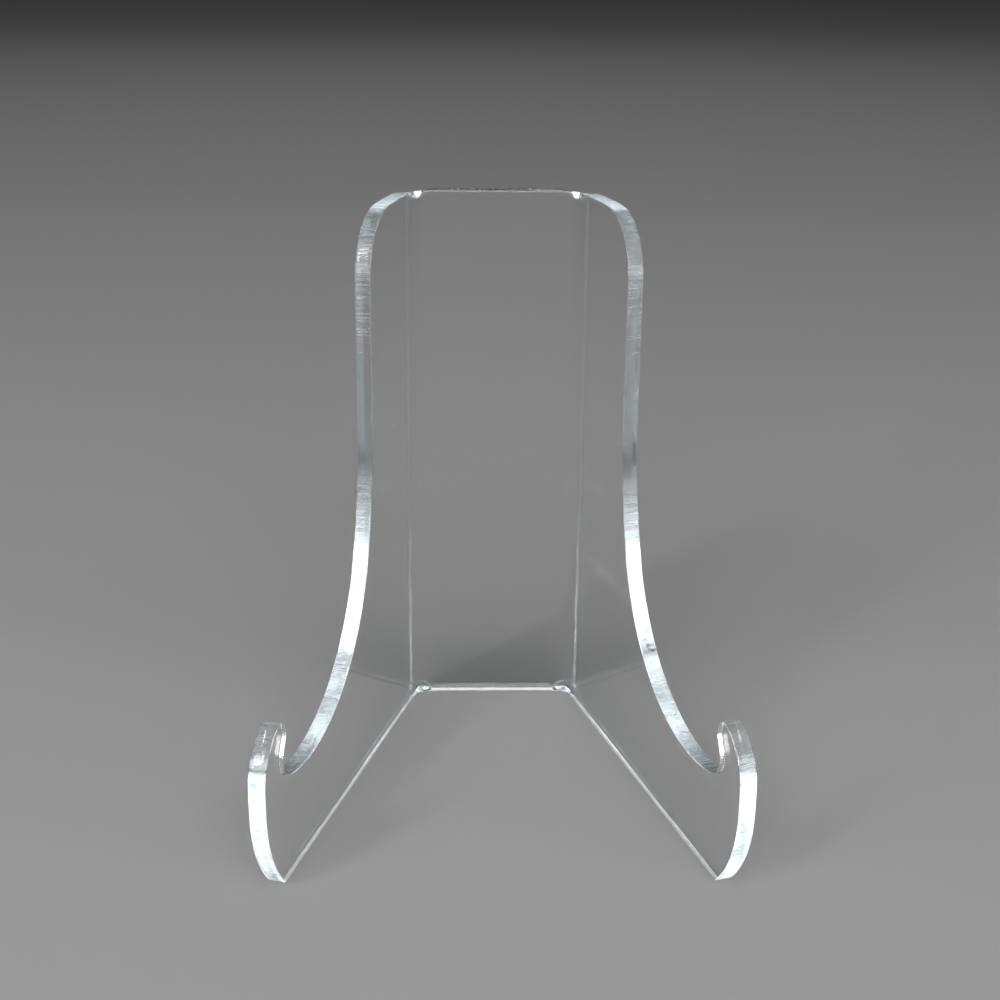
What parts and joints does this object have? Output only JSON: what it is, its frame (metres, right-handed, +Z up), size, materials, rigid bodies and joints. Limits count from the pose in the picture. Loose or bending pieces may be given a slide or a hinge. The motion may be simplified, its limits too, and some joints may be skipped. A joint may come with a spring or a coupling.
{
  "type": "bent acrylic display stand",
  "caption": "Clear stand folded from one thick sheet: an upright back panel with splayed wings whose front edges sweep down to upturned hooks.",
  "frame": {"origin": "on the table, in the middle of the stand's bounding box", "axes": "+Z up along the folds, front with the hooks towards -Y, back panel at +Y, mirror plane X = 0"},
  "size_m": [0.165, 0.1656, 0.209],
  "materials": {
    "clear_acrylic": "clear cast acrylic, see-through, with polished faces and bright cut edges"
  },
  "bodies": {
    "root": {"bent_acrylic_sheet": "clear_acrylic"}
  },
  "joints": []
}
